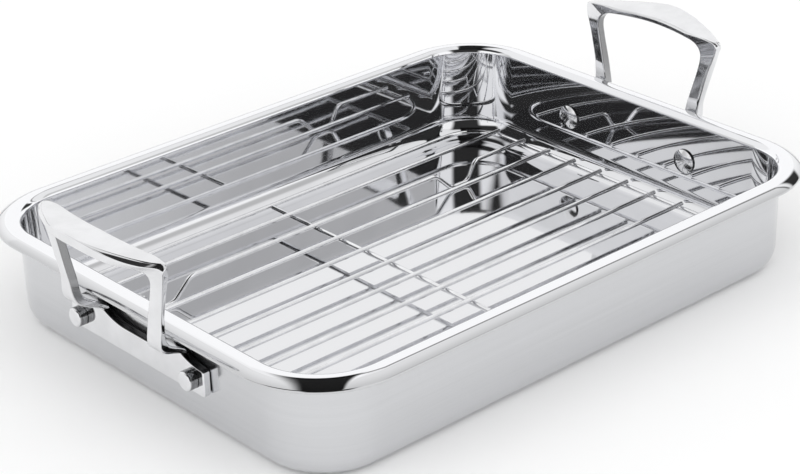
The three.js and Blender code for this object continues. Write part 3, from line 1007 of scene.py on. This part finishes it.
class ROASTINGPAN_OT_handles(bpy.types.Operator):
    """Build both cast handles"""

    bl_idname = "roastingpan.handles"
    bl_label = "Handles"

    def execute(self, context):
        settings = context.scene.roasting_pan
        form = ShellForm(settings.pan)
        # Height under which the handles' upward faces get painted shadow
        under_lip = settings.pan.height - settings.pan.overhang
        steel = settings.steel
        material = cast_steel("handle_polish_painted_shade", steel.cast, steel.cast_roughness, under_lip)
        for end, side in (("right", 1), ("left", -1)):
            mesh = handle_mesh(form, settings.rivets, settings.handles, side)
            node = f"handle_{end}"
            even_normals(add_piece(f"cast_{node}", mesh, [material], "pan", "handle_steel", node))
        return {"FINISHED"}


class ROASTINGPAN_OT_rivets(bpy.types.Operator):
    """Build the four rivets"""

    bl_idname = "roastingpan.rivets"
    bl_label = "Rivets"

    def execute(self, context):
        settings = context.scene.roasting_pan
        form = ShellForm(settings.pan)
        material = turned_steel("rivet_polish_painted_shade", settings.steel.rivet, settings.steel.cast_roughness)
        for end, side in (("right", 1), ("left", -1)):
            for place, half in (("back", 1), ("front", -1)):
                mesh = rivet_mesh(form, settings.rivets, settings.handles, side, half)
                node = f"rivet_{end}_{place}"
                even_normals(add_piece(f"turned_{node}", mesh, [material], "pan", "rivet_steel", node))
        return {"FINISHED"}


class ROASTINGPAN_OT_rack(bpy.types.Operator):
    """Build the rack's frame, cross bar and long wires"""

    bl_idname = "roastingpan.rack"
    bl_label = "Rack"

    def execute(self, context):
        settings = context.scene.roasting_pan
        rack = settings.rack
        form = RackForm(ShellForm(settings.pan), rack)
        material = drawn_wire("rack_polish", settings.steel.wire, settings.steel.wire_roughness)
        up, across = Vector((0, 0, 1)), Vector((0, 1, 0))
        outline = rounded_rectangle(form.half_length, form.half_width, rack.corner, form.frame_height, 24)
        stop = form.half_width - rack.frame_wire / 2 - rack.weld
        bar = [Vector((0, -stop, form.frame_height)), Vector((0, stop, form.frame_height))]
        meshes = {
            "rack_frame": wire_mesh("rack_frame", outline, rack.frame_wire / 2, up, True),
            "rack_cross_bar": wire_mesh("rack_cross_bar", bar, rack.frame_wire / 2, up),
        }
        for node in RACK_WIRES:
            number = int(node[-2:]) - 1
            y = form.pitch * (number - (len(RACK_WIRES) - 1) / 2)
            line = form.long_wire(y, node in FOOT_WIRES)
            meshes[node] = wire_mesh(node, line, rack.long_wire / 2, across)
        for node, mesh in meshes.items():
            mesh.transform(Matrix.Translation(form.shift))
            add_piece(f"polished_{node}", mesh, [material], "rack", "rack_wire", node)
        return {"FINISHED"}


# Studio panels in degrees, the zenith at 90: sideways from, to, over from, to, softness, then brightness
STUDIO_CARDS = (
    (-50, 50, -2, 2.5, 0.7, 0.25),
    (-50, 70, 49, 52.5, 0.8, 0.2),
    (8, 95, 52, 125, 1.5, 0.88),
    (48, 76, 92, 120, 7, 0.56),
    (-95, -8, 45, 125, 2.5, 0.93),
    (-95, -62, 100, 178, 12, 0.62),
    (-20, 29, 118, 177, 5, 0.03),
    (-54, -12, 106, 142, 6, 0.03),
    (25, 58, 24, 43, 2.5, 0.04),
)

# Brightness of the white backdrop
BACKDROP = 1.05

# Dark gap between the overhead panels, which widens towards the camera, in degrees, and how dark it is
GAP_FOCUS = 8
GAP_START = 46
GAP_END = 128
GAP_SPREAD = 0.134
GAP_SIDE = -1.4
GAP_SOFT = 1.2
GAP_FADE = 7
GAP_DEPTH = 0.985

# Half the floor's width, how far it lies under the pan, and the camera's sensor in millimetres
FLOOR_REACH = 12.0
FLOOR_DROP = 0.0005
SENSOR_WIDTH = 36.0


class ROASTINGPAN_OT_stage(bpy.types.Operator):
    """Set up the floor, the studio light and the camera"""

    bl_idname = "roastingpan.stage"
    bl_label = "Stage"

    def execute(self, context):
        stage = context.scene.roasting_pan.stage
        self.floor(context, stage)
        self.studio(context, stage)
        self.camera(context, stage)
        context.scene.view_settings.view_transform = "Standard"
        return {"FINISHED"}

    def floor(self, context, stage):
        bm = bmesh.new()
        bmesh.ops.create_grid(bm, x_segments=4, y_segments=4, size=FLOOR_REACH)
        mesh = to_mesh("floor", bm)
        graph, place = new_material("floor")
        speckle = graph.noise(place, scale=40.0, detail=2.0)
        tint = graph.mix(speckle, shade_of(stage.floor, 0.995), shade_of(stage.floor, 1.005))
        surface = graph.node("ShaderNodeBsdfDiffuse", None, {"Color": tint})[0]
        graph.node("ShaderNodeOutputMaterial", None, {"Surface": surface})
        mesh.materials.append(graph.owner)
        floor = bpy.data.objects.new("floor", mesh)
        floor.location.z = -FLOOR_DROP
        context.scene.collection.objects.link(floor)

    def studio(self, context, stage):
        """Two panels overhead with a dark gap between, a white backdrop and a dark side by the camera."""
        world = bpy.data.worlds.new("studio")
        context.scene.world = world
        graph = Graph(world)
        direction = graph.node("ShaderNodeTexCoord")[GENERATED]
        turn = stage.camera_azimuth
        away = graph.dot(direction, (-math.sin(turn), math.cos(turn), 0.0))
        across = graph.dot(direction, (math.cos(turn), math.sin(turn), 0.0))
        rise = graph.dot(direction, (0.0, 0.0, 1.0))
        side = across.maths("ARCSINE", across) * math.degrees(1.0)
        over = rise.maths("ARCTAN2", rise, away) * math.degrees(1.0)
        light = BACKDROP
        for side_low, side_high, over_low, over_high, soft, level in STUDIO_CARDS:
            card = side.between(side_low, side_high, soft) * over.between(over_low, over_high, soft)
            light = light + card * (level - light)
        spread = GAP_SPREAD * (over - GAP_FOCUS)
        right_edge = (spread - side + GAP_SIDE).step(-GAP_SOFT, GAP_SOFT)
        left_edge = (spread + side - GAP_SIDE).step(-GAP_FADE, GAP_SOFT)
        gap = right_edge * left_edge * over.step(GAP_START - GAP_SOFT, GAP_START + GAP_SOFT)
        gap = gap * (1 - over.step(GAP_END - GAP_FADE, GAP_END + GAP_FADE))
        light = light * (1 - GAP_DEPTH * gap)
        path = graph.node("ShaderNodeLightPath")
        camera_ray, glossy_ray = path[CAMERA_RAY], path[GLOSSY_RAY]
        plain = stage.room - stage.room_lean * away
        seen = plain + glossy_ray * (light - plain)
        seen = seen + camera_ray * (1 - seen)
        background = graph.node("ShaderNodeBackground", None, {"Color": (1, 1, 1, 1), "Strength": seen})[0]
        graph.node("ShaderNodeOutputWorld", None, {"Surface": background})

    def camera(self, context, stage):
        turn, rise, roll = stage.camera_azimuth, stage.camera_elevation, stage.camera_roll
        back = Vector((math.sin(turn) * math.cos(rise), -math.cos(turn) * math.cos(rise), math.sin(rise)))
        right = Vector((math.cos(turn), math.sin(turn), 0.0))
        up = back.cross(right)
        tilted_right = right * math.cos(roll) + up * math.sin(roll)
        tilted_up = up * math.cos(roll) - right * math.sin(roll)
        lens = bpy.data.cameras.new("camera")
        lens.sensor_fit = "HORIZONTAL"
        lens.sensor_width = SENSOR_WIDTH
        lens.lens = stage.camera_lens
        camera = bpy.data.objects.new("camera", lens)
        rotation = Matrix((tilted_right, tilted_up, back)).transposed()
        place = Vector(stage.look_at) + back * stage.camera_distance
        camera.matrix_world = Matrix.Translation(place) @ rotation.to_4x4()
        context.scene.collection.objects.link(camera)
        context.scene.camera = camera


OPERATORS = (
    ROASTINGPAN_OT_shell,
    ROASTINGPAN_OT_handles,
    ROASTINGPAN_OT_rivets,
    ROASTINGPAN_OT_rack,
    ROASTINGPAN_OT_stage,
)


class ROASTINGPAN_PT_sidebar(bpy.types.Panel):
    """Lists the steps that build the pan"""

    bl_label = "Roasting Pan"
    bl_idname = "ROASTINGPAN_PT_sidebar"
    bl_space_type = "VIEW_3D"
    bl_region_type = "UI"
    bl_category = "Roasting Pan"

    def draw(self, context):
        settings = context.scene.roasting_pan
        for step in OPERATORS:
            self.layout.operator(step.bl_idname)
        for part in settings.__annotations__:
            group = getattr(settings, part)
            box = self.layout.box()
            for name in group.__annotations__:
                box.prop(group, name)


CLASSES = (
    PanSizes,
    RivetSizes,
    HandleSizes,
    RackSizes,
    SteelFinishes,
    StageLooks,
    RoastingPanSettings,
    *OPERATORS,
    ROASTINGPAN_PT_sidebar,
)


def register():
    for made in CLASSES:
        bpy.utils.register_class(made)
    bpy.types.Scene.roasting_pan = bpy.props.PointerProperty(type=RoastingPanSettings)


def unregister():
    del bpy.types.Scene.roasting_pan
    for made in reversed(CLASSES):
        bpy.utils.unregister_class(made)


def main():
    register()
    bpy.ops.roastingpan.shell()
    bpy.ops.roastingpan.handles()
    bpy.ops.roastingpan.rivets()
    bpy.ops.roastingpan.rack()
    bpy.ops.roastingpan.stage()


if __name__ == "__main__":
    main()
